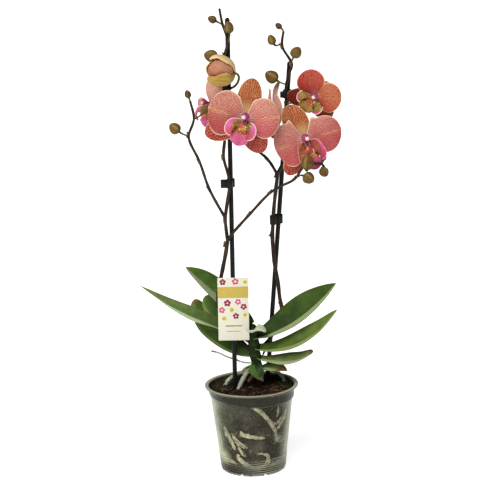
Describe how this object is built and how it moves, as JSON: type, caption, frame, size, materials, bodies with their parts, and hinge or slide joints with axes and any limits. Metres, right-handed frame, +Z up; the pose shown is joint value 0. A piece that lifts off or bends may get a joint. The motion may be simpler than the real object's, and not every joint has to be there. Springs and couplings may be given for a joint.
{
  "type": "moth orchid in clear pot",
  "caption": "Flowering moth orchid with leaves and branching flower spikes tied to stakes, rooted in bark in a clear tapered grow pot; stands on a flat base.",
  "frame": {"origin": "centre of the pot's flat base, on the surface it stands on", "axes": "+Z up along the pot's axis; the plant's front, with the label and the open flowers, looks along -Y; +X is to the viewer's right"},
  "size_m": [0.2543, 0.1259, 0.5923],
  "materials": {
    "pot": "clear, slightly olive, thin, glossy",
    "substrate": "damp potting bark and fibre, matt",
    "roots": "fleshy pale green to tan roots, matt",
    "stalk": "green leaf bases, satin",
    "aerial_roots": "silver green, finely wrinkled",
    "leaves": "waxy mid to dark green, satin",
    "stakes": "black, glossy",
    "flower_spikes": "dark brown stem, satin",
    "clips": "black plastic, satin",
    "label": "cream card, smooth",
    "opening_bud": "yellow sepals, waxy",
    "buds": "olive to brown, waxy",
    "tepals_red": "orange red, velvety",
    "tepals": "salmon pink with darker veins, velvety",
    "lips": "hot pink with a striped throat, waxy"
  },
  "bodies": {
    "root": {"aerial_root_back": "aerial_roots", "aerial_root_front": "aerial_roots", "aerial_root_right": "aerial_roots", "aerial_root_thin": "aerial_roots", "bloom_back_lip": "lips", "bloom_back_tepals": "tepals", "bloom_front_lip": "lips", "bloom_front_tepals": "tepals", "bloom_left_lip": "lips", "bloom_left_tepals": "tepals", "bloom_right_lip": "lips", "bloom_right_tepals": "tepals", "bloom_upper_lip": "lips", "bloom_upper_tepals": "tepals_red", "bud_01": "buds", "bud_02": "buds", "bud_03": "buds", "bud_04": "buds", "bud_05": "buds", "bud_06": "buds", "bud_07": "buds", "bud_08": "buds", "bud_09": "buds", "bud_10": "buds", "bud_11": "buds", "bud_12": "buds", "bud_13": "buds", "bud_14": "buds", "bud_opening": "opening_bud", "clip_left": "clips", "clip_right_lower": "clips", "clip_right_upper": "clips", "label": "label", "leaf_crown": "leaves", "leaf_left_back": "leaves", "leaf_left_long": "leaves", "leaf_left_lower": "leaves", "leaf_left_middle": "leaves", "leaf_left_upper": "leaves", "leaf_right_low": "leaves", "leaf_right_lower": "leaves", "leaf_right_middle": "leaves", "leaf_right_upper": "leaves", "leaf_stub_front": "leaves", "leaf_stub_left": "leaves", "pot": "pot", "roots": "roots", "spike_left": "flower_spikes", "spike_right": "flower_spikes", "stake_left": "stakes", "stake_right": "stakes", "stalk": "stalk", "substrate": "substrate"}
  },
  "joints": []
}
